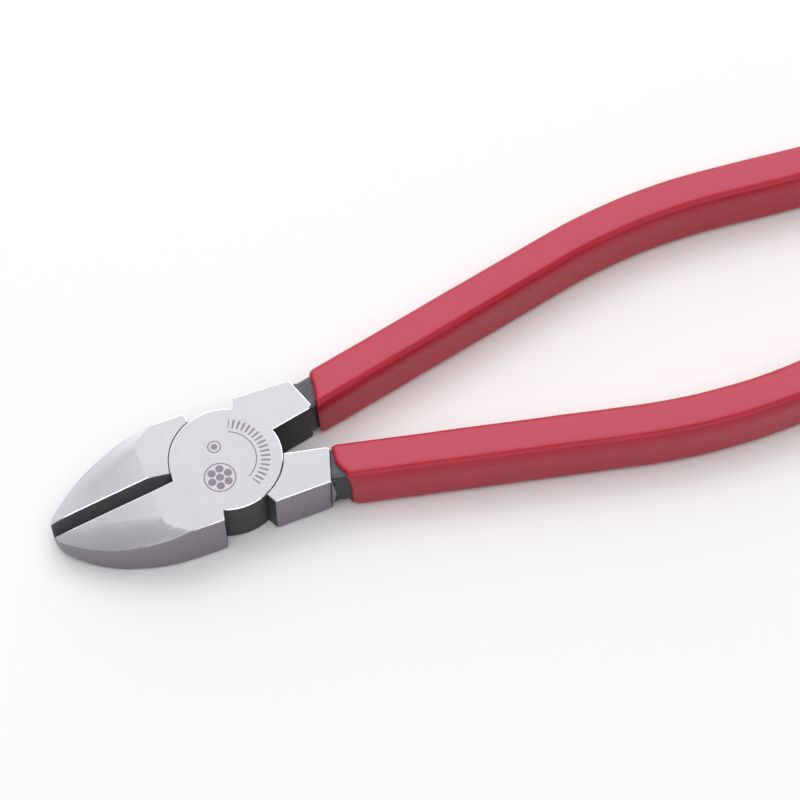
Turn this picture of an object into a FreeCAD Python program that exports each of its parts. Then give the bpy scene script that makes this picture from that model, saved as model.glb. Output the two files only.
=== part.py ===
"""Diagonal cutting pliers, about 180 mm size: two lapped halves on a rivet, with dipped grips.

Frame: millimetres, origin on the pivot axis at the rear face of the joint. The jaws point to
-X, the handles to +X, and +Z leaves the front face. The front half carries the handle at +Y.
"""
import FreeCAD, Part
import math
import os

# --- head ------------------------------------------------------------------------------
HEAD_THICKNESS = 11.1       # rear face of the joint to its polished front face
HUB_RADIUS = 10.75          # round boss of each half
LAP_GAP = 0.04              # between the two bosses, along the pivot axis
SEAT_GAP = 0.12             # round the boss, to the other half's jaw and shoulder
CUTTING_GAP = 0.04          # between the cutting edges when closed

# --- jaw, drawn at +Y -------------------------------------------------------------------
JAW_ROOT_X = -4.5           # end wall of the jaw, at its outer corner
JAW_ROOT_SLANT = 1.1        # the end wall leans this far towards +X over its depth
JAW_ROOT_DEPTH = 4.0        # of the end wall, from the outer wall to inside the boss
JAW_FRONT_WIDTH = 11.95     # outer wall at the front face
JAW_REAR_WIDTH = 12.35      # outer wall at the rear face, a little further out
JAW_HUB_X = -8.06           # the cutting edges run on to here, inside the boss
JAW_CURVE_START = -10.5     # the outer wall starts to curve in here
JAW_CURVE_RADIUS = 34.0
TIP_X = -34.95
TIP_FRONT_RADIUS = 3.0
TIP_REAR_RADIUS = 4.9
TIP_REAR_SETBACK = 0.35     # the tip is this much shorter at the rear
SLOPE_START_X = -15.2       # the front face slopes down from here to the tip
SLOPE_ANGLE = 14.0          # degrees
ROLL_RADIUS = 9.0           # the slope rolls over towards the jaw's outer wall
ROLL_START_RADIUS = 51.0    # the line where it starts to roll, an arc in plan
ROLL_START_CENTRE = (-5.2, -43.1)
KEEL_START_X = -23.5        # the rear face curves up from here to the tip
KEEL_RADIUS = 36.0

# --- bevels behind the cutting edges -----------------------------------------------------
GROOVE_HALF_WIDTH = 1.5     # of the V between the jaws, from the tip to the slope's start
GROOVE_HUB_HALF_WIDTH = 0.85
GROOVE_DEPTH = 4.4          # cutting edge below the front face, from the tip to the slope's start
REAR_GROOVE_HALF_WIDTH = 1.2
REAR_GROOVE_TIP_HALF_WIDTH = 0.42
REAR_GROOVE_TIP_DEPTH = 1.6
EDGE_LAND = 0.6             # height of the cutting edges' flat meeting faces
GROOVE_END_X = -9.0         # inside the boss

# --- shoulder, drawn at +Y ---------------------------------------------------------------
SHOULDER_FRONT_OUT = (5.7, 11.8)
SHOULDER_REAR_OUT = (16.85, 11.6)
SHOULDER_REAR_IN = (19.15, 4.65)
SHOULDER_IN_AT_HUB = (10.65, 2.85)
SHOULDER_IN_HUB = (7.0, 2.2)        # inside the boss
SHOULDER_OUT_HUB = (3.0, 7.0)       # inside the boss
SHOULDER_AT_HUB = (4.75, 9.85)
SHOULDER_INNER_DRAFT = 0.35 # the inner wall stands this much further in at the rear face
SHOULDER_BELLY = 0.9        # the end wall stands out this much at mid thickness
SHOULDER_CORNER_RADIUS = 0.9

# --- handle, drawn at +Y -----------------------------------------------------------------
HANDLE_ANGLE = 12.7         # degrees from the X axis
HANDLE_REF = (30.0, 10.45)  # a point on the handle's centre line
HANDLE_BEND_X = 75.7        # the handle starts to bow inwards here
HANDLE_BEND_RADIUS = 118.0
HANDLE_END_ANGLE = -5.0     # degrees from the X axis, after the bow
HANDLE_END_X = 148.6        # outside of the grip's closed end
TANG_START_X = 16.0
TANG_WIDTH = 6.6
TANG_THICKNESS = 10.2
TANG_CORNER_RADIUS = 1.5
END_ROUNDING = 0.42         # share of a bar's width that rounds its far corners
TANG_NECK_RADIUS = 1.2      # concave fillet from the shoulder into the tang
NECK_OVERLAP = 0.36         # of the fillet's web, into the shoulder and the tang
NECK_TRIM = 0.9             # the web stops this far inside the tang's faces
GRIP_WIDTH = 8.55
GRIP_THICKNESS = 12.2
GRIP_CORNER_RADIUS = 1.7
GRIP_END_COVER = 3.5        # vinyl beyond the end of the tang
GRIP_MOUTH = ((19.5, 4.0), (21.3, 12.5))    # the mouth's edge, inner corner to outer corner
GRIP_LIP_RADIUS = 0.6

# --- rivet -------------------------------------------------------------------------------
RIVET_RADIUS = 4.0
RIVET_HEAD_RADIUS = 5.4
RIVET_HEAD_DEPTH = 1.4
RIVET_CLEARANCE = 0.04      # running fit in the rear half

MID_Z = HEAD_THICKNESS / 2
BEYOND = 3.0                # cutters reach this far past what they cut


def vec(x, y, z=0.0):
    return FreeCAD.Vector(x, y, z)


def prism(wire, low, high):
    """A plan outline drawn at z = 0, made solid from z = low to z = high."""
    face = Part.Face(wire)
    face.translate(vec(0, 0, low))
    return face.extrude(vec(0, 0, high - low))


def at_side(shape, side):
    """Shapes are drawn at +Y; side -1 gives the mirror image at -Y."""
    if side > 0:
        return shape
    return shape.mirror(vec(0, 0), vec(0, 1))


def disc(radius, low, high):
    return Part.makeCylinder(radius, high - low, vec(0, 0, low))


# --- jaw ---------------------------------------------------------------------------------
def jaw_outline(width, tip_x, tip_radius, z):
    """Closed plan outline of one jaw, with its outer curve as two tangent arcs."""
    big, small = JAW_CURVE_RADIUS, tip_radius
    big_centre = vec(JAW_CURVE_START, width - big, z)
    # the tip arc ends square to the X axis and touches the big arc from inside
    small_x = tip_x + small
    reach = big - small
    small_centre = vec(small_x, big_centre.y + math.sqrt(reach ** 2 - (small_x - big_centre.x) ** 2), z)
    touch = big_centre + (small_centre - big_centre) * (big / reach)
    join_angle = math.atan2(touch.y - big_centre.y, touch.x - big_centre.x)
    big_middle = (join_angle + math.pi / 2) / 2
    small_middle = (join_angle + math.pi) / 2
    tip_end = vec(tip_x, small_centre.y, z)
    corner = vec(JAW_ROOT_X, width, z)
    hub_side = vec(JAW_ROOT_X + JAW_ROOT_SLANT, width - JAW_ROOT_DEPTH, z)
    hub_mid = vec(JAW_HUB_X, CUTTING_GAP / 2, z)
    tip_inner = vec(tip_x, CUTTING_GAP / 2, z)

    def on_arc(centre, radius, angle):
        return centre + vec(radius * math.cos(angle), radius * math.sin(angle))

    edges = [
        Part.LineSegment(corner, vec(JAW_CURVE_START, width, z)),
        Part.Arc(vec(JAW_CURVE_START, width, z), on_arc(big_centre, big, big_middle), touch),
        Part.Arc(touch, on_arc(small_centre, small, small_middle), tip_end),
        Part.LineSegment(tip_end, tip_inner),
        Part.LineSegment(tip_inner, hub_mid),
        Part.LineSegment(hub_mid, hub_side),
        Part.LineSegment(hub_side, corner),
    ]
    return Part.Wire([edge.toShape() for edge in edges])


def jaw_crown():
    """Flat-topped round block: its top is the jaw's slope and its rim the roll-over."""
    slope = math.radians(SLOPE_ANGLE)
    up = vec(-math.sin(slope), 0, math.cos(slope))
    out = vec(0, 1)
    x, y = ROLL_START_CENTRE
    centre = vec(x, y, HEAD_THICKNESS + (x - SLOPE_START_X) * math.tan(slope))
    roll_centre = centre + out * ROLL_START_RADIUS - up * ROLL_RADIUS
    halfway = roll_centre + (out + up).normalize() * ROLL_RADIUS
    top, side = roll_centre + up * ROLL_RADIUS, roll_centre + out * ROLL_RADIUS
    foot = centre - up * ROLL_START_RADIUS
    low_side = foot + out * (ROLL_START_RADIUS + ROLL_RADIUS)
    edges = [
        Part.LineSegment(centre, top),
        Part.Arc(top, halfway, side),
        Part.LineSegment(side, low_side),
        Part.LineSegment(low_side, foot),
        Part.LineSegment(foot, centre),
    ]
    profile = Part.Face(Part.Wire([edge.toShape() for edge in edges]))
    return profile.revolve(centre, up, 360)


def jaw_keel():
    """What the rear face loses near the tip: all that lies outside a big cylinder."""
    reach = KEEL_RADIUS / 2
    corner = vec(KEEL_START_X - reach, -reach, -reach)
    block = Part.makeBox(reach, 2 * reach, 1.3 * reach, corner)
    axis_end = vec(KEEL_START_X, -2 * reach, KEEL_RADIUS)
    roll = Part.makeCylinder(KEEL_RADIUS, 4 * reach, axis_end, vec(0, 1, 0))
    return block.cut(roll)


def front_height(x):
    """Height of the front face beside the groove."""
    return HEAD_THICKNESS - max(0.0, SLOPE_START_X - x) * math.tan(math.radians(SLOPE_ANGLE))


def groove_depth(x):
    """Depth of the cutting edge below the front face: constant, then less towards the boss."""
    at_hub = GROOVE_DEPTH * GROOVE_HUB_HALF_WIDTH / GROOVE_HALF_WIDTH
    narrowing = max(0.0, (x - SLOPE_START_X) / (-HUB_RADIUS - SLOPE_START_X))
    return GROOVE_DEPTH + narrowing * (at_hub - GROOVE_DEPTH)


def edge_height(x):
    """Height of the cutting edge."""
    return front_height(x) - groove_depth(x)


def groove_section(x, half_width, height, surface):
    """Triangle across the jaws, from the cutting edge out past the surface it opens to."""
    stretch = (surface - height + math.copysign(BEYOND, surface - height)) / (surface - height)
    outer = half_width * stretch
    far = height + (surface - height) * stretch
    corners = [vec(x, 0, height), vec(x, outer, far), vec(x, -outer, far), vec(x, 0, height)]
    return Part.makePolygon(corners)


def front_groove():
    """V between the jaws at the front, parallel-sided to the slope's start, then narrowing."""
    sections = []
    for x in (TIP_X - BEYOND, SLOPE_START_X, GROOVE_END_X):
        half_width = GROOVE_HALF_WIDTH * groove_depth(x) / GROOVE_DEPTH
        sections.append(groove_section(x, half_width, edge_height(x), front_height(x)))
    return Part.makeLoft(sections, True, True)


def rear_groove():
    """Relief behind the cutting edges, widening from the tip to the boss."""
    past_tip = TIP_X - BEYOND
    tip_height = edge_height(past_tip) - EDGE_LAND
    root_height = edge_height(SLOPE_START_X) - EDGE_LAND
    sections = [
        groove_section(past_tip, REAR_GROOVE_TIP_HALF_WIDTH, tip_height, tip_height - REAR_GROOVE_TIP_DEPTH),
        groove_section(SLOPE_START_X, REAR_GROOVE_HALF_WIDTH, root_height, 0.0),
        groove_section(GROOVE_END_X, REAR_GROOVE_HALF_WIDTH, root_height, 0.0),
    ]
    return Part.makeLoft(sections, True, True)


def jaw(side):
    front = jaw_outline(JAW_FRONT_WIDTH, TIP_X, TIP_FRONT_RADIUS, HEAD_THICKNESS)
    rear = jaw_outline(JAW_REAR_WIDTH, TIP_X + TIP_REAR_SETBACK, TIP_REAR_RADIUS, 0.0)
    body = Part.makeLoft([rear, front], True, True)
    body = body.common(jaw_crown())
    body = body.cut(jaw_keel())
    body = body.cut(front_groove())
    body = body.cut(rear_groove())
    return at_side(body, side)


# --- shoulder and tang -------------------------------------------------------------------
def shoulder(side):
    rear_out = (SHOULDER_REAR_OUT[0] + SHOULDER_BELLY, SHOULDER_REAR_OUT[1])
    slant = (SHOULDER_REAR_IN[0] - rear_out[0]) / (rear_out[1] - SHOULDER_REAR_IN[1])
    outlines = []
    for z, draft in ((0.0, SHOULDER_INNER_DRAFT), (HEAD_THICKNESS, 0.0)):
        corners = [
            SHOULDER_AT_HUB,
            SHOULDER_FRONT_OUT,
            rear_out,
            (SHOULDER_REAR_IN[0] + draft * slant, SHOULDER_REAR_IN[1] - draft),
            (SHOULDER_IN_AT_HUB[0], SHOULDER_IN_AT_HUB[1] - draft),
            (SHOULDER_IN_HUB[0], SHOULDER_IN_HUB[1] - draft),
            SHOULDER_OUT_HUB,
        ]
        outlines.append(Part.makePolygon([vec(x, y, z) for x, y in corners + corners[:1]]))
    body = Part.makeLoft(outlines, True, True)
    for face_z in (0.0, HEAD_THICKNESS):
        body = body.cut(end_draft(face_z))
    rear_in = [e for e in body.Edges if upright_at(e, SHOULDER_REAR_IN, 2 * SHOULDER_INNER_DRAFT)]
    return at_side(body.makeFillet(SHOULDER_CORNER_RADIUS, rear_in), side)


def end_draft(face_z):
    """What is cut off the shoulder's end between mid thickness and one face."""
    end_line = vec(SHOULDER_REAR_IN[0] - SHOULDER_REAR_OUT[0], SHOULDER_REAR_IN[1] - SHOULDER_REAR_OUT[1])
    along = end_line.normalize()
    outward = vec(-along.y, along.x)
    start = vec(SHOULDER_REAR_OUT[0], SHOULDER_REAR_OUT[1]) - along * BEYOND
    past = math.copysign(BEYOND, face_z - MID_Z)
    rise = face_z - MID_Z
    corners = [
        (SHOULDER_BELLY, MID_Z),
        (-SHOULDER_BELLY * past / rise, face_z + past),
        (SHOULDER_BELLY + BEYOND, face_z + past),
        (SHOULDER_BELLY + BEYOND, MID_Z),
        (SHOULDER_BELLY, MID_Z),
    ]
    profile = Part.makePolygon([start + outward * out + vec(0, 0, z) for out, z in corners])
    return Part.Face(profile).extrude(along * 2 * HUB_RADIUS)


def upright_at(edge, place, slack=0.01):
    """True for the edge that stands along Z over a plan point, or within slack of it."""
    if edge.Length < HEAD_THICKNESS / 2:
        return False
    ends = [v.Point for v in edge.Vertexes]
    return all(math.hypot(p.x - place[0], p.y - place[1]) < slack for p in ends)


def handle_path(x_start, x_end):
    """Centre line of the handle as (start, bend, end) points with the arc's middle."""
    angle = math.radians(HANDLE_ANGLE)
    end_angle = math.radians(HANDLE_END_ANGLE)
    start = vec(x_start, HANDLE_REF[1] + (x_start - HANDLE_REF[0]) * math.tan(angle))
    bend = vec(HANDLE_BEND_X, HANDLE_REF[1] + (HANDLE_BEND_X - HANDLE_REF[0]) * math.tan(angle))
    centre = bend + vec(math.sin(angle), -math.cos(angle)) * HANDLE_BEND_RADIUS
    out = centre + vec(-math.sin(end_angle), math.cos(end_angle)) * HANDLE_BEND_RADIUS
    end = out + vec(1, math.tan(end_angle)) * (x_end - out.x)
    return start, bend, centre, out, end


def handle_outline(width, x_start, x_end):
    """Plan outline of constant width about the centre line, and its two far corners."""
    start, bend, centre, out, end = handle_path(x_start, x_end)
    angle, end_angle = math.radians(HANDLE_ANGLE), math.radians(HANDLE_END_ANGLE)
    middle = (angle + end_angle) / 2
    half = width / 2

    def normal(a):
        return vec(-math.sin(a), math.cos(a))

    def offset_arc(sign):
        radius = HANDLE_BEND_RADIUS + sign * half
        return [centre + normal(a) * radius for a in (angle, middle, end_angle)]

    outer, inner = offset_arc(1), offset_arc(-1)
    far_out, far_in = end + normal(end_angle) * half, end - normal(end_angle) * half
    near_out, near_in = start + normal(angle) * half, start - normal(angle) * half
    edges = [
        Part.LineSegment(near_out, outer[0]),
        Part.Arc(*outer),
        Part.LineSegment(outer[2], far_out),
        Part.LineSegment(far_out, far_in),
        Part.LineSegment(far_in, inner[2]),
        Part.Arc(inner[2], inner[1], inner[0]),
        Part.LineSegment(inner[0], near_in),
        Part.LineSegment(near_in, near_out),
    ]
    outline = Part.Wire([edge.toShape() for edge in edges])
    return outline, (far_out, far_in)


def handle_bar(width, thickness, x_start, x_end, corner_radius):
    """A bar along the handle, rounded along its length and at its far end."""
    outline, far_corners = handle_outline(width, x_start, x_end)
    bar = prism(outline, MID_Z - thickness / 2, MID_Z + thickness / 2)
    uprights = [e for e in bar.Edges for c in far_corners if upright_at(e, (c.x, c.y))]
    bar = bar.makeFillet(width * END_ROUNDING, uprights)
    rims = [e for e in bar.Edges if is_rim(e) and e.BoundBox.XMax > x_start + width]
    return bar.makeFillet(corner_radius, rims)


def is_rim(edge):
    """True for an edge that lies flat in the bar's front or rear face."""
    return edge.BoundBox.ZLength < 0.001


def tang(side):
    end_x = HANDLE_END_X - GRIP_END_COVER
    return at_side(handle_bar(TANG_WIDTH, TANG_THICKNESS, TANG_START_X, end_x, TANG_CORNER_RADIUS), side)


def neck(side):
    """Concave web in the corner between the shoulder's end and the tang's outer side."""
    angle = math.radians(HANDLE_ANGLE)
    start = handle_path(TANG_START_X, HANDLE_END_X)[0]
    out = start + vec(-math.sin(angle), math.cos(angle)) * (TANG_WIDTH / 2)
    lean = math.atan2(SHOULDER_REAR_IN[0] - SHOULDER_REAR_OUT[0], SHOULDER_REAR_OUT[1] - SHOULDER_REAR_IN[1])
    # where the tang's outer line meets the shoulder's end line
    slope = math.tan(angle)
    end_slope = -math.tan(lean)
    y = ((out.y + slope * (SHOULDER_REAR_OUT[0] - SHOULDER_REAR_OUT[1] * end_slope - out.x))
         / (1 - slope * end_slope))
    x = SHOULDER_REAR_OUT[0] + (y - SHOULDER_REAR_OUT[1]) * end_slope
    corner = vec(x, y)
    along_tang = vec(math.cos(angle), math.sin(angle)) * TANG_NECK_RADIUS
    along_end = vec(end_slope, 1).normalize() * TANG_NECK_RADIUS
    inset = NECK_OVERLAP / TANG_NECK_RADIUS
    hollow = corner + (along_tang + along_end) * inset
    root = corner - along_end * inset
    edges = [
        Part.LineSegment(root, corner + along_tang),
        Part.Arc(corner + along_tang, hollow, corner + along_end),
        Part.LineSegment(corner + along_end, root),
    ]
    web = Part.Wire([edge.toShape() for edge in edges])
    low = MID_Z - TANG_THICKNESS / 2 + NECK_TRIM
    return at_side(prism(web, low, HEAD_THICKNESS - low), side)


# --- the pieces --------------------------------------------------------------------------
def front_half():
    seam = MID_Z + LAP_GAP / 2
    body = jaw(-1).fuse([shoulder(1), tang(1), neck(1)])
    body = body.cut(disc(HUB_RADIUS + SEAT_GAP, -BEYOND, seam))
    body = body.fuse(disc(HUB_RADIUS, seam, HEAD_THICKNESS))
    body = body.cut(disc(RIVET_RADIUS, -BEYOND, HEAD_THICKNESS + BEYOND))
    return body.removeSplitter()


def rear_half():
    seam = MID_Z - LAP_GAP / 2
    body = jaw(1).fuse([shoulder(-1), tang(-1), neck(-1)])
    body = body.cut(disc(HUB_RADIUS + SEAT_GAP, seam, HEAD_THICKNESS + BEYOND))
    body = body.fuse(disc(HUB_RADIUS, 0, seam))
    bore = RIVET_RADIUS + RIVET_CLEARANCE
    body = body.cut(disc(bore, -BEYOND, HEAD_THICKNESS + BEYOND))
    body = body.cut(rivet_head(RIVET_CLEARANCE))
    return body.removeSplitter()


def rivet_head(clearance):
    return Part.makeCone(RIVET_HEAD_RADIUS + clearance, RIVET_RADIUS + clearance, RIVET_HEAD_DEPTH)


def pivot_rivet():
    return disc(RIVET_RADIUS, 0, HEAD_THICKNESS).fuse(rivet_head(0.0)).removeSplitter()


def grip(side):
    outside = handle_bar(GRIP_WIDTH, GRIP_THICKNESS, TANG_START_X, HANDLE_END_X, GRIP_CORNER_RADIUS)
    (in_x, in_y), (out_x, out_y) = GRIP_MOUTH
    lean = (out_x - in_x) / (out_y - in_y)
    low, high = -HANDLE_BEND_X, HANDLE_BEND_X
    mouth = [vec(in_x + (y - in_y) * lean, y) for y in (low, high)]
    behind = Part.makePolygon([mouth[0], mouth[1], vec(TIP_X, high), vec(TIP_X, low), mouth[0]])
    outside = outside.cut(prism(behind, -BEYOND, HEAD_THICKNESS + BEYOND))
    end_face = min(outside.Faces, key=lambda face: face.CenterOfMass.x)
    outside = outside.makeFillet(GRIP_LIP_RADIUS, end_face.Edges)
    return at_side(outside, side).cut(tang(side))


PIECES = {
    "front_half": front_half,
    "rear_half": rear_half,
    "pivot_rivet": pivot_rivet,
    "front_half_grip": lambda: grip(1),
    "rear_half_grip": lambda: grip(-1),
}

os.makedirs("parts", exist_ok=True)
for name, make in PIECES.items():
    shape = make()
    box = shape.BoundBox
    print(name, "solids", len(shape.Solids), "valid", shape.isValid(), "volume", round(shape.Volume, 1),
          "x", round(box.XMin, 2), round(box.XMax, 2), "y", round(box.YMin, 2), round(box.YMax, 2),
          "z", round(box.ZMin, 2), round(box.ZMax, 2))
    shape.exportStep("parts/" + name + ".step")
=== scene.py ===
import math

import bmesh
import bpy
from mathutils import Matrix, Vector, noise


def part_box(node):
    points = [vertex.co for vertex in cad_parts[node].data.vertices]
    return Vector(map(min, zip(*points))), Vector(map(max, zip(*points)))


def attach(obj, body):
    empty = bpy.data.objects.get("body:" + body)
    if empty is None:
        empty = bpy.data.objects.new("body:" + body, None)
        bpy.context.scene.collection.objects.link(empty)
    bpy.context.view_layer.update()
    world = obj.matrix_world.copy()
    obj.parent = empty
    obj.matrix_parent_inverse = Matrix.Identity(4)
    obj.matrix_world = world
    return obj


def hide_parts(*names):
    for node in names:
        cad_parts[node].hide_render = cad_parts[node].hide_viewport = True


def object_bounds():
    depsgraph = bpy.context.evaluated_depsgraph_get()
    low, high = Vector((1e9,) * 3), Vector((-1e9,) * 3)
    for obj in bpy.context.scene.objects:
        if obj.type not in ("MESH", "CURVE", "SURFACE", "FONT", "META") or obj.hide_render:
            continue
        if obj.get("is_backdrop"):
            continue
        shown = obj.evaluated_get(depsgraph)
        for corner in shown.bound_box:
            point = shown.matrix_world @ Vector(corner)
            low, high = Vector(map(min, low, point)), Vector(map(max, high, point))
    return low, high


# Looks of the diagonal cutting pliers: ground and blackened steel halves, dipped vinyl grips.
# The jaws point along -X, the handles along +X, and the ground front face looks along +Z.

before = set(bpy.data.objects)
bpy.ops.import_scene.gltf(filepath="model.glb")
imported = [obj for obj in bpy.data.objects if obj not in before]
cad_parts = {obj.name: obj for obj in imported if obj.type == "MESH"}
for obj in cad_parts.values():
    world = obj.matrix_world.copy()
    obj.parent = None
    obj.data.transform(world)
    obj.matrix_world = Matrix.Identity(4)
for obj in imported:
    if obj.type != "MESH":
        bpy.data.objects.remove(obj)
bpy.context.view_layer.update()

MM = 0.001
HALF = 0.5

HEAD_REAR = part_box("pivot_rivet")[0].z
HEAD_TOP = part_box("pivot_rivet")[1].z           # polished front face
MIDDLE_Z = (HEAD_TOP + HEAD_REAR) / 2
RIVET_HEAD_RADIUS = 5.4 * MM
HUB_RADIUS = 10.75 * MM

# --- steel ------------------------------------------------------------------------------
EDGE_WIDTH = 0.15 * MM          # broken edges of the ground faces
SHALLOW = 0.45                  # edges that don't face -Y are broken less deeply
FOLD_WIDTH = 0.07 * MM
SEAM_WIDTH = 0.2 * MM
SHARP_ANGLE = math.radians(24)
SAME_PLANE = math.radians(0.5)
FACE_LEVEL = 0.02 * MM          # a face this near to the front or rear plane lies in it
SEAT_NEAR = 0.04 * MM           # the seat's edge lies between these distances from the boss
SEAT_FAR = 0.25 * MM
BORE_SLACK = 0.2 * MM
JAW_ROOT_X = -4.6 * MM
SLOPE_END_X = -8.0 * MM
SLOPE_LOW_Z = MIDDLE_Z - 2 * MM
LAND_Y = 1.2 * MM               # the slopes start this far from the cutting line
GROOVE_Y = 2 * MM
KEEL_X = -20 * MM               # the rounded rear of the tips lies beyond this
KEEL_Z = 4 * MM
TIP_FACE_X = -33 * MM
JAW_EDGE_Y = 0.2 * MM
SHOULDER_START_X = 5.0 * MM
SHOULDER_END_X = 17.0 * MM
SHOULDER_WALL_Y = 11 * MM
GRAIN_ANGLE = math.radians(-12)     # direction of the grinding marks on the flat faces
SLOPE_GRAIN_ANGLE = math.radians(80)
UPRIGHT = math.radians(90)

# --- grips, drawn at +Y in the plane of the handles ----------------------------------------
HANDLE_ANGLE = math.radians(12.7)
HANDLE_REF = Vector((30.0 * MM, 10.45 * MM))
BEND_X = 75.7 * MM
BEND_RADIUS = 118.0 * MM
END_ANGLE = math.radians(-5.0)
GRIP_WIDTH = 8.55 * MM
GRIP_THICKNESS = 12.2 * MM
GRIP_CORNER = 1.8 * MM
GRIP_FRONT_CORNER_DEPTH = 3.3 * MM      # the corners at the front run further down the sides
GRIP_WALL = 1.05 * MM
# where each mouth starts on the front face: (distance out from the centre line, along the handle)
MOUTHS = {
    1: ((-4.3, -11.7), (-2.0, -10.5), (0.0, -9.5), (2.2, -8.9), (4.3, -8.1)),
    -1: ((-4.3, -11.7), (-1.5, -11.5), (0.4, -11.35), (2.2, -10.1), (4.3, -8.8)),
}
MOUTH_DRAFT = 0.9 * MM          # the mouth is this much further from the joint at the rear face
MOUTH_WAVE = 0.12 * MM
# the rolled lip, from inside the mouth outwards: (mm beyond the mouth, share of the wall drawn in)
LIP = ((1.6, 1.0), (0.7, 1.0), (0.28, 0.93), (0.06, 0.76), (0.0, 0.58), (0.05, 0.40), (0.2, 0.24),
       (0.45, 0.11), (0.8, 0.03), (1.2, 0.0))
DOME = 3.4 * MM                 # length of the rounded end
DOME_RIM = 1.9 * MM             # and how far its front and rear faces round over
DOME_CLOSING = 0.98             # the last ring keeps a little of the section
DOME_RINGS = 12
END_INSIDE = 0.3 * MM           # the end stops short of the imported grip's box
SWELL = 0.05 * MM               # slow unevenness of the dipped skin
CORNER_STEPS = 10
SIDE_STEPS = 5
BODY_RINGS = 120
LEAST_CORNER = 0.2 * MM
CORNER_SHARE = 0.45             # how much the corners tighten as the section is drawn in


def new_object(name, mesh):
    obj = bpy.data.objects.new(name, mesh)
    bpy.context.scene.collection.objects.link(obj)
    return obj


# --- material nodes ------------------------------------------------------------------------
class Nodes:
    """Short calls for building one material's node tree."""

    def __init__(self, name):
        self.material = bpy.data.materials.new(name)
        self.material.use_nodes = True
        self.tree = self.material.node_tree
        self.shader = self.tree.nodes["Principled BSDF"]
        coordinates = self.add("ShaderNodeTexCoord")
        self.place = coordinates.outputs["Object"]
        self.flat_normal = coordinates.outputs["Normal"]

    def add(self, kind, **settings):
        node = self.tree.nodes.new(kind)
        for key, value in settings.items():
            setattr(node, key, value)
        return node

    def link(self, source, target):
        if hasattr(source, "links"):
            self.tree.links.new(source, target)
        else:
            target.default_value = source

    def math(self, operation, a, b=0.0, c=0.0, clamp=False):
        node = self.add("ShaderNodeMath", operation=operation, use_clamp=clamp)
        for source, socket in zip((a, b, c), node.inputs):
            self.link(source, socket)
        return node.outputs[0]

    def mapped(self, scale, turn=0.0, tilt=0.0):
        """Object coordinates turned about Z, then stretched; scale is in repeats per metre."""
        turned = self.add("ShaderNodeMapping", vector_type="POINT")
        self.link(self.place, turned.inputs["Vector"])
        turned.inputs["Rotation"].default_value = (0, tilt, turn)
        sized = self.add("ShaderNodeMapping", vector_type="POINT")
        self.link(turned.outputs[0], sized.inputs["Vector"])
        sized.inputs["Scale"].default_value = scale
        return sized.outputs[0]

    def noise(self, vector, detail=3.0, rough=0.55):
        node = self.add("ShaderNodeTexNoise")
        self.link(vector, node.inputs["Vector"])
        node.inputs["Scale"].default_value = 1.0
        node.inputs["Detail"].default_value = detail
        node.inputs["Roughness"].default_value = rough
        return node.outputs["Fac"]

    def spread(self, value, low, high, from_low=0.3, from_high=0.7):
        node = self.add("ShaderNodeMapRange")
        for key, source in (("Value", value), ("From Min", from_low), ("From Max", from_high),
                            ("To Min", low), ("To Max", high)):
            self.link(source, node.inputs[key])
        return node.outputs[0]

    def blend(self, factor, first, second):
        node = self.add("ShaderNodeMix", data_type="RGBA")
        self.link(factor, node.inputs[0])
        self.link(first, node.inputs[6])
        self.link(second, node.inputs[7])
        return node.outputs[2]

    def bump(self, height, depth, below=None):
        node = self.add("ShaderNodeBump")
        node.inputs["Strength"].default_value = 1.0
        node.inputs["Distance"].default_value = depth
        self.link(height, node.inputs["Height"])
        if below is not None:
            self.link(below, node.inputs["Normal"])
        return node.outputs[0]


def per_mm(*repeats):
    return tuple(r / MM for r in repeats)


def grain(nodes, turn, tilt=0.0, width=0.10, length=1.4):
    """Grinding marks: short fine scratches along one direction over fainter wide ones."""
    fine = nodes.noise(nodes.mapped(per_mm(1 / length, 1 / width, 1 / width), turn, tilt), 3.0, 0.6)
    wide = nodes.noise(nodes.mapped(per_mm(0.25, 2.2, 2.2), turn, tilt), 3.0, 0.5)
    return nodes.math("ADD", nodes.math("MULTIPLY", fine, 0.75), nodes.math("MULTIPLY", wide, 0.25))


# --- etched mark: a stranded-wire pictogram and a graduated arc, no lettering ---------------------
LINE = 0.26 * MM
CABLE = Vector((-2.3, -3.3)) * MM
CABLE_RADIUS = 2.95 * MM
STRAND_RADIUS = 0.78 * MM
STRAND_PITCH = 1.78 * MM
STRANDS = 6                     # round the middle one
STRAND_TURN = 15                # degrees
WIRE = Vector((-1.2, 3.2)) * MM
WIRE_RADIUS = 1.2 * MM
WIRE_CORE_RADIUS = 0.62 * MM
ARC_RADIUS = 5.8 * MM
ARC_LINE = 0.24 * MM
TICK_INNER_RADIUS = 6.6 * MM
TICK_OUTER_RADIUS = 8.4 * MM
TICK_SPACING = math.radians(7.5)
TICK_SHARE = 0.2                # half of a tick's width, as a share of the spacing
SECTOR_MIDDLE = 0.06            # radians
SECTOR_REACH = math.radians(64)
WHOLE_TURNS = 100.5             # keeps the phase above zero and puts a gap on the X axis


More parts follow.
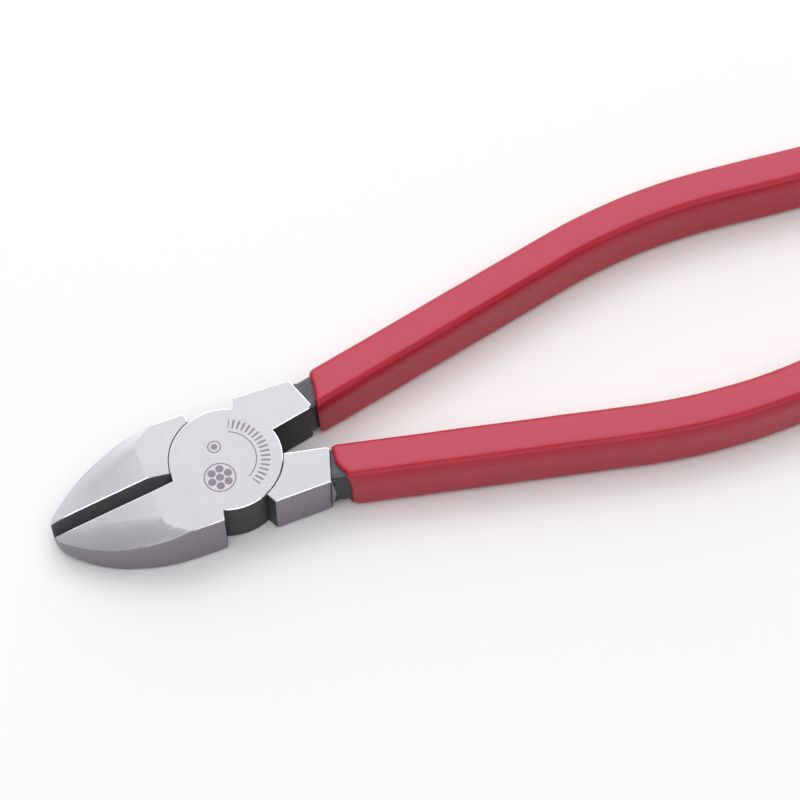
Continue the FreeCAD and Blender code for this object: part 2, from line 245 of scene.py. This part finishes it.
class FaceShapes:
    """Flat shapes on the front face, each 1 inside and 0 outside."""

    def __init__(self, nodes):
        self.nodes = nodes
        split = nodes.add("ShaderNodeSeparateXYZ")
        nodes.link(nodes.place, split.inputs[0])
        self.x, self.y = split.outputs[0], split.outputs[1]

    def distance(self, centre):
        dx = self.nodes.math("SUBTRACT", self.x, centre.x)
        dy = self.nodes.math("SUBTRACT", self.y, centre.y)
        squares = [self.nodes.math("MULTIPLY", d, d) for d in (dx, dy)]
        return self.nodes.math("SQRT", self.nodes.math("ADD", *squares))

    def near(self, value, middle, reach):
        off = self.nodes.math("ABSOLUTE", self.nodes.math("SUBTRACT", value, middle))
        return self.nodes.math("LESS_THAN", off, reach)

    def disc(self, centre, radius):
        return self.nodes.math("LESS_THAN", self.distance(centre), radius)

    def ring(self, centre, radius, width):
        return self.near(self.distance(centre), radius, width / 2)

    def both(self, first, second):
        return self.nodes.math("MULTIPLY", first, second)

    def union(self, parts):
        total = parts[0]
        for part in parts[1:]:
            total = self.nodes.math("MAXIMUM", total, part)
        return total


def cable_end(shapes):
    """A stranded cable seen from its end: a ring round seven strands."""
    parts = [shapes.ring(CABLE, CABLE_RADIUS, LINE), shapes.disc(CABLE, STRAND_RADIUS)]
    for step in range(STRANDS):
        turn = math.radians(360 / STRANDS * step + STRAND_TURN)
        centre = CABLE + Vector((math.cos(turn), math.sin(turn))) * STRAND_PITCH
        parts.append(shapes.disc(centre, STRAND_RADIUS))
    return parts


def graduations(shapes):
    """Ticks round the boss with an arc inside them."""
    nodes = shapes.nodes
    pivot = Vector((0.0, 0.0))
    angle = nodes.math("ARCTAN2", shapes.y, shapes.x)
    radius = shapes.distance(pivot)
    turns = nodes.math("ADD", nodes.math("DIVIDE", angle, TICK_SPACING), WHOLE_TURNS)
    tick = shapes.near(nodes.math("FRACT", turns), HALF, TICK_SHARE)
    band = shapes.both(nodes.math("GREATER_THAN", radius, TICK_INNER_RADIUS),
                       nodes.math("LESS_THAN", radius, TICK_OUTER_RADIUS))
    sector = shapes.near(angle, SECTOR_MIDDLE, SECTOR_REACH)
    ticks = shapes.both(shapes.both(tick, band), sector)
    arc = shapes.both(shapes.ring(pivot, ARC_RADIUS, ARC_LINE), sector)
    return [ticks, arc]


def etched_mark(nodes):
    """1 where the front face is etched."""
    shapes = FaceShapes(nodes)
    wire = [shapes.ring(WIRE, WIRE_RADIUS, LINE), shapes.disc(WIRE, WIRE_CORE_RADIUS)]
    return shapes.union(cable_end(shapes) + wire + graduations(shapes))


# --- materials -----------------------------------------------------------------------------
FLAT_TINT = (0.74, 0.73, 0.76)
NEAR_BOSS_TONE = (0.735, 0.725, 0.76, 1.0)
# the tip and ridge colours are painted light at the jaw tips and painted shade along the slopes' ridge
TIP_PAINTED_LIGHT = (0.86, 0.85, 0.90, 1.0)
RIDGE_PAINTED_SHADE = (0.32, 0.31, 0.35, 1.0)
ETCHED_TONE = (0.36, 0.31, 0.37, 1.0)


def slope_painted_light_and_shade(nodes, colour):
    """The slopes' colour: as the flats near the boss, painted light making the tip brighter, painted shade
    darkening the ridge.
    """
    place = nodes.add("ShaderNodeSeparateXYZ")
    nodes.link(nodes.place, place.inputs[0])
    facing = nodes.add("ShaderNodeSeparateXYZ")
    nodes.link(nodes.flat_normal, facing.inputs[0])
    near_boss = nodes.spread(place.outputs[0], 0.0, 1.0, -20 * MM, -12 * MM)
    colour = nodes.blend(near_boss, colour, NEAR_BOSS_TONE)
    # painted light: the slope is made paler towards the tip
    tip_light_share = nodes.spread(place.outputs[0], 1.0, 0.0, -34 * MM, -25 * MM)
    colour = nodes.blend(tip_light_share, colour, TIP_PAINTED_LIGHT)
    # painted shade: the slope darkens where it turns down towards the ridge
    ridge_shade_share = nodes.spread(facing.outputs[2], 1.0, 0.0, 0.66, 0.80)
    return nodes.blend(nodes.math("MULTIPLY", ridge_shade_share, 0.6), colour, RIDGE_PAINTED_SHADE)


def shade(tint, share):
    return tuple(c * share for c in tint) + (1.0,)


def ground_steel(name, turn, tilt=0.0, tint=FLAT_TINT, rough=(0.30, 0.42), depth=0.0016,
                 etched=False, rolled=False):
    """Bright steel with grinding marks; etched adds the generic mark, rolled the slopes' painted light at
    the tip and painted shade along the ridge.
    """
    nodes = Nodes(name)
    marks = grain(nodes, turn, tilt)
    colour = nodes.blend(nodes.spread(marks, 0.0, 1.0, 0.34, 0.66), shade(tint, 0.94), shade(tint, 1.035))
    cloud = nodes.noise(nodes.mapped(per_mm(0.09, 0.09, 0.09)), 2.0)
    colour = nodes.blend(nodes.spread(cloud, 0.0, 0.08, 0.4, 0.7), colour, shade(tint, 0.7))
    roughness = nodes.spread(marks, rough[1], rough[0], 0.34, 0.66)
    if etched:
        mark = etched_mark(nodes)
        colour = nodes.blend(mark, colour, ETCHED_TONE)
        roughness = nodes.math("ADD", roughness, nodes.math("MULTIPLY", mark, 0.12))
    # painted light and shade on the slopes
    if rolled:
        colour = slope_painted_light_and_shade(nodes, colour)
    nodes.shader.inputs["Metallic"].default_value = 1.0
    nodes.link(colour, nodes.shader.inputs["Base Color"])
    nodes.link(roughness, nodes.shader.inputs["Roughness"])
    nodes.link(nodes.bump(marks, depth * MM), nodes.shader.inputs["Normal"])
    return nodes.material


def bright_edge(name):
    """The narrow break along the edges of the ground faces."""
    nodes = Nodes(name)
    wear = nodes.noise(nodes.mapped(per_mm(1.2, 1.2, 1.2)), 3.0)
    colour = nodes.blend(nodes.spread(wear, 0.0, 1.0), (0.80, 0.80, 0.82, 1.0), (0.93, 0.93, 0.94, 1.0))
    nodes.shader.inputs["Metallic"].default_value = 1.0
    nodes.link(colour, nodes.shader.inputs["Base Color"])
    nodes.link(nodes.spread(wear, 0.34, 0.22), nodes.shader.inputs["Roughness"])
    return nodes.material


def black_oxide(name, low, high, specular):
    """Matt black scale left by hardening, with a faint mottle and fine pits."""
    nodes = Nodes(name)
    mottle = nodes.noise(nodes.mapped(per_mm(0.8, 0.8, 0.8)), 5.0, 0.65)
    pits = nodes.noise(nodes.mapped(per_mm(5.0, 5.0, 5.0)), 3.0, 0.6)
    colour = nodes.blend(nodes.spread(mottle, 0.0, 1.0), low + (1.0,), high + (1.0,))
    nodes.shader.inputs["Metallic"].default_value = 0.0
    nodes.shader.inputs["Specular IOR Level"].default_value = specular
    nodes.link(colour, nodes.shader.inputs["Base Color"])
    nodes.link(nodes.spread(mottle, 0.42, 0.60), nodes.shader.inputs["Roughness"])
    height = nodes.math("ADD", nodes.math("MULTIPLY", mottle, 0.6), nodes.math("MULTIPLY", pits, 0.4))
    nodes.link(nodes.bump(height, 0.03 * MM), nodes.shader.inputs["Normal"])
    return nodes.material


def vinyl_colour_and_painted_sheen(nodes, cloud, fine):
    """Red that drifts slowly, with a painted whitish sheen on the flat front and rear faces."""
    drift = nodes.spread(cloud, 0.0, 1.0)
    colour = nodes.blend(drift, (0.42, 0.008, 0.024, 1.0), (0.47, 0.012, 0.034, 1.0))
    facing = nodes.add("ShaderNodeSeparateXYZ")
    nodes.link(nodes.flat_normal, facing.inputs[0])
    # painted sheen: faces that look straight up or down are made paler and pinker, standing in for a
    # reflection of the lights
    flatness = nodes.spread(nodes.math("ABSOLUTE", facing.outputs[2]), 0.0, 1.0, 0.93, 0.999)
    painted_sheen = nodes.math("MULTIPLY", flatness, nodes.spread(fine, 0.85, 1.0))
    return nodes.blend(painted_sheen, colour, (0.50, 0.058, 0.098, 1.0))


def dipped_vinyl(name):
    """Semi-gloss red vinyl: a soft skin with faint orange peel and slow changes of gloss."""
    nodes = Nodes(name)
    cloud = nodes.noise(nodes.mapped(per_mm(0.07, 0.07, 0.07)), 3.0)
    peel = nodes.noise(nodes.mapped(per_mm(0.9, 0.9, 0.9)), 3.0, 0.5)
    fine = nodes.noise(nodes.mapped(per_mm(6.0, 6.0, 6.0)), 2.0, 0.5)
    nodes.link(vinyl_colour_and_painted_sheen(nodes, cloud, fine), nodes.shader.inputs["Base Color"])
    nodes.link(nodes.spread(cloud, 0.30, 0.40), nodes.shader.inputs["Roughness"])
    nodes.shader.inputs["Specular IOR Level"].default_value = 0.4
    nodes.shader.inputs["Subsurface Weight"].default_value = 0.12
    nodes.shader.inputs["Subsurface Radius"].default_value = (1.0, 0.25, 0.2)
    nodes.shader.inputs["Subsurface Scale"].default_value = 0.8 * MM
    height = nodes.math("ADD", nodes.math("MULTIPLY", peel, 0.8), nodes.math("MULTIPLY", fine, 0.2))
    nodes.link(nodes.bump(height, 0.012 * MM), nodes.shader.inputs["Normal"])
    return nodes.material


def pale_floor(name):
    nodes = Nodes(name)
    tone = nodes.noise(nodes.mapped((3.0, 3.0, 3.0)), 2.0)
    colour = nodes.blend(tone, (0.86, 0.86, 0.86, 1.0), (0.89, 0.89, 0.89, 1.0))
    nodes.link(colour, nodes.shader.inputs["Base Color"])
    nodes.shader.inputs["Roughness"].default_value = 0.8
    nodes.shader.inputs["Specular IOR Level"].default_value = 0.1
    return nodes.material


# --- steel halves ----------------------------------------------------------------------------
FLAT, SLOPE, WALL, BLACK, EDGE, GROOVE, TANG = range(7)


def steel_region(face, jaw_side):
    """Which finish a face of one half has, from its direction and place."""
    n = face.normal
    c = face.calc_center_median()
    out = c.y * jaw_side                # distance from the cutting line, on this half's jaw
    in_front = n.z > 0.99 and c.z > HEAD_TOP - FACE_LEVEL
    at_rear = n.z < -0.99 and c.z < HEAD_REAR + FACE_LEVEL
    if in_front or at_rear:
        return FLAT
    on_slope = n.z > 0.7 and c.x < SLOPE_END_X and c.z > SLOPE_LOW_Z and out > LAND_Y
    on_keel = n.z < -0.6 and c.x < KEEL_X and c.z < KEEL_Z
    if on_slope or on_keel:
        return SLOPE
    if n.z > 0.05 and c.x < SLOPE_END_X and abs(c.y) < GROOVE_Y:
        return GROOVE
    if n.z > 0.6 and c.x > SHOULDER_START_X:
        return TANG
    on_jaw = c.x < JAW_ROOT_X and n.y * jaw_side > 0.12 and out > JAW_EDGE_Y
    on_tip = c.x < TIP_FACE_X and n.x < -0.5
    along_shoulder = SHOULDER_START_X < c.x < SHOULDER_END_X and abs(c.y) > SHOULDER_WALL_Y
    on_shoulder = along_shoulder and n.y * -jaw_side > 0.9
    if on_jaw or on_tip or on_shoulder:
        return WALL
    return BLACK


def is_edge_break(rim):
    """True for an inset strip that lies along a real edge of the ground face."""
    outer = [e for e in rim.edges if any(f.material_index not in (FLAT, SLOPE) for f in e.link_faces)]
    if not outer:
        return False
    reach = [v.co.xy.length for v in outer[0].verts]
    at_bore = max(reach) < RIVET_HEAD_RADIUS + BORE_SLACK
    at_seat = min(reach) > HUB_RADIUS + SEAT_NEAR and max(reach) < HUB_RADIUS + SEAT_FAR
    beside_wall = any(f.material_index == WALL for f in outer[0].link_faces)
    along_ridge = beside_wall and rim.material_index == SLOPE
    return not (at_bore or at_seat or along_ridge)


def break_edges(work, up):
    """Small chamfer round the ground front (up = 1) or rear (up = -1) face of a half."""
    ground = [f for f in work.faces if f.material_index in (FLAT, SLOPE) and f.normal.z * up > 0.5]
    rims = bmesh.ops.inset_region(work, faces=ground, thickness=EDGE_WIDTH, depth=0.0,
                                  use_boundary=True, use_even_offset=False)["faces"]
    inner = {v for face in ground for v in face.verts}
    broken = [face for face in rims if is_edge_break(face)]
    kept = {v for face in rims if face not in broken for v in face.verts}
    for vert in {v for face in broken for v in face.verts} - inner - kept:
        faces_front = min(f.normal.y for f in vert.link_faces) < -0.4
        vert.co.z -= EDGE_WIDTH * up * (1.0 if faces_front else SHALLOW)
    for face in broken:
        face.material_index = EDGE
    # where the inset folded over itself at a sharp corner, its points are joined again
    corners = dict.fromkeys(v for face in ground if face.material_index == FLAT for v in face.verts)
    bmesh.ops.remove_doubles(work, verts=list(corners), dist=FOLD_WIDTH)


def open_seam(work):
    """Chamfer where the two bosses meet on the rim, so that the joint line shows."""
    def on_seam(vert):
        at_middle = abs(vert.co.z - MIDDLE_Z) < 0.1 * MM
        return at_middle and abs(vert.co.xy.length - HUB_RADIUS) < 0.03 * MM

    seam = [e for e in work.edges if all(on_seam(v) for v in e.verts) and e.calc_face_angle(0) > 1.0]
    bmesh.ops.bevel(work, geom=seam, offset=SEAM_WIDTH, offset_type="OFFSET", segments=1,
                    profile=0.5, affect="EDGES", clamp_overlap=False, material=BLACK)


def steel_half(node, name, body, jaw_side, finishes):
    """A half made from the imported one, with its edges broken and a finish for every face."""
    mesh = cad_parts[node].data.copy()
    mesh.name = name
    mesh.materials.clear()
    for finish in finishes:
        mesh.materials.append(finish)
    work = bmesh.new()
    work.from_mesh(mesh)
    bmesh.ops.remove_doubles(work, verts=work.verts, dist=0.001 * MM)
    bmesh.ops.dissolve_degenerate(work, edges=work.edges, dist=0.01 * MM)
    bmesh.ops.dissolve_limit(work, angle_limit=SAME_PLANE, verts=work.verts, edges=work.edges)
    work.normal_update()
    for face in work.faces:
        face.material_index = steel_region(face, jaw_side)
    open_seam(work)
    break_edges(work, 1)
    break_edges(work, -1)
    for face in work.faces:
        face.smooth = True
    work.to_mesh(mesh)
    work.free()
    half = new_object(name, mesh)
    mesh.set_sharp_from_angle(angle=SHARP_ANGLE)
    weighted = half.modifiers.new("flat_faces", "WEIGHTED_NORMAL")
    weighted.keep_sharp = True
    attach(half, body)
    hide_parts(node)
    return half


# --- grips --------------------------------------------------------------------------------
def bend_start():
    return Vector((BEND_X, HANDLE_REF.y + (BEND_X - HANDLE_REF.x) * math.tan(HANDLE_ANGLE)))


def handle_length():
    """Length of the centre line from the handle's reference point to the grip's end."""
    straight = (bend_start() - HANDLE_REF).length
    curved = BEND_RADIUS * (HANDLE_ANGLE - END_ANGLE)
    out = handle_point(straight + curved)[0]
    end_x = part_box("front_half_grip")[1].x - END_INSIDE
    return straight + curved + (end_x - out.x) / math.cos(END_ANGLE)


def handle_point(s):
    """Point and direction on the centre line, s metres beyond the reference point."""
    first = bend_start()
    straight = (first - HANDLE_REF).length
    if s <= straight:
        along = Vector((math.cos(HANDLE_ANGLE), math.sin(HANDLE_ANGLE)))
        return HANDLE_REF + along * s, HANDLE_ANGLE
    turned = min((s - straight) / BEND_RADIUS, HANDLE_ANGLE - END_ANGLE)
    angle = HANDLE_ANGLE - turned
    centre = first + Vector((math.sin(HANDLE_ANGLE), -math.cos(HANDLE_ANGLE))) * BEND_RADIUS
    point = centre + Vector((-math.sin(angle), math.cos(angle))) * BEND_RADIUS
    rest = s - straight - turned * BEND_RADIUS
    return point + Vector((math.cos(angle), math.sin(angle))) * rest, angle


def grip_section():
    """Points round the section: (across sign, up sign, corner cosine and sine, share along the side)."""
    outline = []
    corners = ((1, 1), (-1, 1), (-1, -1), (1, -1))
    for index, (across, up) in enumerate(corners):
        for step in range(CORNER_STEPS + 1):
            turn = math.radians(90 * index) + math.radians(90) * step / CORNER_STEPS
            outline.append((across, up, math.cos(turn), math.sin(turn), 0.0))
        for step in range(1, SIDE_STEPS):
            outline.append((across, up, math.cos(turn), math.sin(turn), step / SIDE_STEPS))
    return outline


def section_point(item, inset_across, inset_up):
    """Across and up coordinates of one outline point, with the section drawn in on each side."""
    across, up, dx, dy, slide = item
    half_w = GRIP_WIDTH / 2 - inset_across
    half_t = GRIP_THICKNESS / 2 - inset_up
    drawn_in = CORNER_SHARE * (inset_across + inset_up)
    depth = GRIP_FRONT_CORNER_DEPTH if up > 0 else GRIP_CORNER
    corner_u = max(min(GRIP_CORNER - drawn_in, half_w), LEAST_CORNER)
    corner_w = max(min(depth - drawn_in, half_t), LEAST_CORNER)
    u = across * (half_w - corner_u) + corner_u * dx
    w = up * (half_t - corner_w) + corner_w * dy
    if slide == 0:
        return u, w
    if abs(dy) > 0.5:
        return u - across * 2 * (half_w - corner_u) * slide, w
    straight = 2 * half_t - (GRIP_CORNER + GRIP_FRONT_CORNER_DEPTH - 2 * drawn_in)
    return u, w - up * max(straight, 0.0) * slide


def ring_plan():
    """(share of the way, step beyond the mouth, insets) of every ring, from inside the lip to the end."""
    rings = [(0.0, step * MM, inset * GRIP_WALL, inset * GRIP_WALL) for step, inset in LIP]
    for index in range(1, BODY_RINGS):
        rings.append((index / BODY_RINGS, LIP[-1][0] * MM, 0.0, 0.0))
    for index in range(1, DOME_RINGS + 1):
        turn = math.radians(90) * index / DOME_RINGS
        out = DOME * (1 - math.sin(turn))
        across = DOME * (1 - math.cos(turn)) * DOME_CLOSING
        low = max(0.0, 1 - out / DOME_RIM)
        up = DOME_RIM * (1 - math.sqrt(max(0.0, 1 - low * low))) * DOME_CLOSING
        rings.append((1.0, -out, across, up))
    return rings


def mouth_start(side, out, up):
    """Where the mouth stands along the handle, smooth across the face and leaning on the sides."""
    spots = MOUTHS[side]
    out_mm = min(max(out / MM, spots[0][0]), spots[-1][0])
    for (low, low_s), (high, high_s) in zip(spots, spots[1:]):
        if out_mm <= high:
            break
    share = (out_mm - low) / (high - low)
    depth = HALF - up / GRIP_THICKNESS
    wave = MOUTH_WAVE * math.sin(3.0 * out_mm + 2.0 * side) * math.cos(0.5 * up / MM)
    return (low_s + (high_s - low_s) * share) * MM + MOUTH_DRAFT * depth + wave


def skin_point(side, s, u, w):
    """Place of one point of the skin: s along the handle, u across and w up from its centre line."""
    swell = SWELL * noise.noise(Vector((s / (9 * MM), u / (5 * MM), w / (5 * MM) + 7 * side)))
    point, angle = handle_point(s)
    normal = Vector((-math.sin(angle), math.cos(angle)))
    out = 1 + swell / (GRIP_WIDTH / 2)
    place = point + normal * u * out
    return place.x, place.y * side, MIDDLE_Z + w * out


def sleeve_rings(work, side):
    end = handle_length()
    rings = []
    for share, step, inset_across, inset_up in ring_plan():
        ring = []
        for item in grip_section():
            u, w = section_point(item, inset_across, inset_up)
            start = mouth_start(side, u, w)
            s = end + step if share >= 1.0 else start + step + (end - DOME - start - step) * share
            ring.append(work.verts.new(skin_point(side, s, u, w)))
        rings.append(ring)
    return rings


def grip(name, node, body, side, finish):
    """Dipped sleeve: rings swept along the handle, a rolled lip at the mouth and a closed end."""
    work = bmesh.new()
    rings = sleeve_rings(work, side)
    count = len(rings[0])
    for first, second in zip(rings, rings[1:]):
        for i in range(count):
            j = (i + 1) % count
            work.faces.new((first[i], first[j], second[j], second[i]))
    work.faces.new(rings[-1])
    work.faces.new(list(reversed(rings[0])))
    bmesh.ops.recalc_face_normals(work, faces=work.faces)
    for face in work.faces:
        face.smooth = True
    mesh = bpy.data.meshes.new(name)
    work.to_mesh(mesh)
    work.free()
    mesh.materials.append(finish)
    piece = new_object(name, mesh)
    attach(piece, body)
    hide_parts(node)
    return piece


# --- studio ---------------------------------------------------------------------------------
VIEW_HEADING = math.radians(21.58)      # the tool is turned this far from the picture's horizontal
VIEW_ELEVATION = math.radians(61.10)
VIEW_ROLL = math.radians(-0.30)
VIEW_DISTANCE = 516.2 * MM
VIEW_AIM = Vector((35.13 * MM, -0.09 * MM, HEAD_TOP))
VIEW_LENS = 122.07                      # mm, on the sensor below
SENSOR_WIDTH = 36.0

# name: direction, distance, width, height, radiance, seen in reflections, lights matt surfaces
PANELS = {
    "softbox_behind": ((0.14, 0.78, 0.62), 1.0, 1.7, 1.3, 0.84, True, True),
    "softbox_front": ((-0.1, -0.95, 0.42), 1.1, 1.6, 0.45, 1.9, True, False),
    "softbox_behind_low": ((0.3, 0.93, 0.2), 1.2, 2.0, 0.3, 1.7, True, False),
    "softbox_right": ((0.8, 0.42, 0.42), 1.2, 1.1, 0.6, 1.5, True, False),
    "overhead": ((0.0, 0.0, 1.0), 1.4, 2.2, 2.2, 1.57, False, True),
    "softbox_left": ((-0.44, -0.05, 0.9), 1.2, 0.6, 1.3, 0.25, True, False),
    "overhead_sheen": ((0.0, -0.1, 1.0), 1.5, 1.8, 1.4, 0.36, True, False),
}
SKY_COLOUR = (0.94, 0.96, 1.0, 1.0)
SKY_STRENGTH = 0.25
FLOOR_REACH = 3.0                       # metres each way


def place_camera():
    tilt = math.pi / 2 - VIEW_ELEVATION
    turn = Matrix.Rotation(-VIEW_HEADING, 3, "Z") @ Matrix.Rotation(tilt, 3, "X")
    turn = turn @ Matrix.Rotation(-VIEW_ROLL, 3, "Z")
    data = bpy.data.cameras.new("view")
    data.lens = VIEW_LENS
    data.sensor_width = SENSOR_WIDTH
    data.clip_start = 0.01
    data.clip_end = 20.0
    camera = new_object("view", data)
    camera.matrix_world = Matrix.Translation(VIEW_AIM + turn @ Vector((0, 0, VIEW_DISTANCE))) @ turn.to_4x4()
    bpy.context.scene.camera = camera


def panel(name, direction, distance, width, height, radiance, glossy, diffuse):
    """A soft rectangular light aimed at the tool, not seen by the camera."""
    data = bpy.data.lights.new(name, "AREA")
    data.shape = "RECTANGLE"
    data.size = width
    data.size_y = height
    data.energy = radiance * width * height * math.pi
    light = new_object(name, data)
    away = Vector(direction).normalized()
    light.location = VIEW_AIM + away * distance
    light.rotation_mode = "QUATERNION"
    light.rotation_quaternion = away.to_track_quat("Z", "Y")
    light.visible_camera = False
    light.visible_glossy = glossy
    light.visible_diffuse = diffuse


def studio_light():
    world = bpy.data.worlds.new("studio")
    world.use_nodes = True
    sky = world.node_tree.nodes["Background"]
    sky.inputs["Color"].default_value = SKY_COLOUR
    sky.inputs["Strength"].default_value = SKY_STRENGTH
    bpy.context.scene.world = world
    for name, settings in PANELS.items():
        panel(name, *settings)


def floor():
    """The ground the grips rest on."""
    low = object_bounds()[0].z
    mesh = bpy.data.meshes.new("floor")
    corners = [(-1, -1), (1, -1), (1, 1), (-1, 1)]
    mesh.from_pydata([(x * FLOOR_REACH, y * FLOOR_REACH, low) for x, y in corners], [], [(0, 1, 2, 3)])
    mesh.materials.append(pale_floor("pale_floor"))
    new_object("floor", mesh)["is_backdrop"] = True


def rivet_finish(finish):
    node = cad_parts["pivot_rivet"]
    node.data.materials.clear()
    node.data.materials.append(finish)


# --- the scene -----------------------------------------------------------------------------
flat_front = ground_steel("ground_flat", -GRAIN_ANGLE)
flat_etched = ground_steel("ground_flat_etched", -GRAIN_ANGLE, etched=True)
# the slopes' steel carries painted light at the tip and painted shade along the ridge
slope = ground_steel("ground_slope_painted_light_and_shade", SLOPE_GRAIN_ANGLE, tint=(0.69, 0.68, 0.715), rough=(0.40, 0.52),
                     depth=0.003, rolled=True)
# the walls' steel is tinted far darker than the flats: painted shade for the side walls
wall = ground_steel("ground_wall_painted_shade", 0.0, UPRIGHT, tint=(0.275, 0.25, 0.285), rough=(0.36, 0.5), depth=0.004)
black = black_oxide("black_oxide", (0.018, 0.018, 0.021), (0.034, 0.034, 0.040), 0.45)
groove = black_oxide("black_groove", (0.090, 0.090, 0.098), (0.125, 0.125, 0.135), 0.5)
# a paler copy of the black oxide for the up-facing tang tops: the oxide's colour is partly lifted as a
# painted highlight
slate = black_oxide("black_slate_painted_highlight", (0.060, 0.058, 0.074), (0.105, 0.100, 0.125), 0.6)
edge = bright_edge("bright_edge")
vinyl = dipped_vinyl("dipped_vinyl")

steel_half("front_half", "front_half_steel", "front_lever", -1,
           [flat_etched, slope, wall, black, edge, groove, slate])
steel_half("rear_half", "rear_half_steel", "rear_lever", 1,
           [flat_front, slope, wall, black, edge, groove, slate])
rivet_finish(flat_etched)
grip("front_half_grip_vinyl", "front_half_grip", "front_lever", 1, vinyl)
grip("rear_half_grip_vinyl", "rear_half_grip", "rear_lever", -1, vinyl)
floor()
studio_light()
place_camera()
bpy.context.scene.view_settings.view_transform = "Standard"
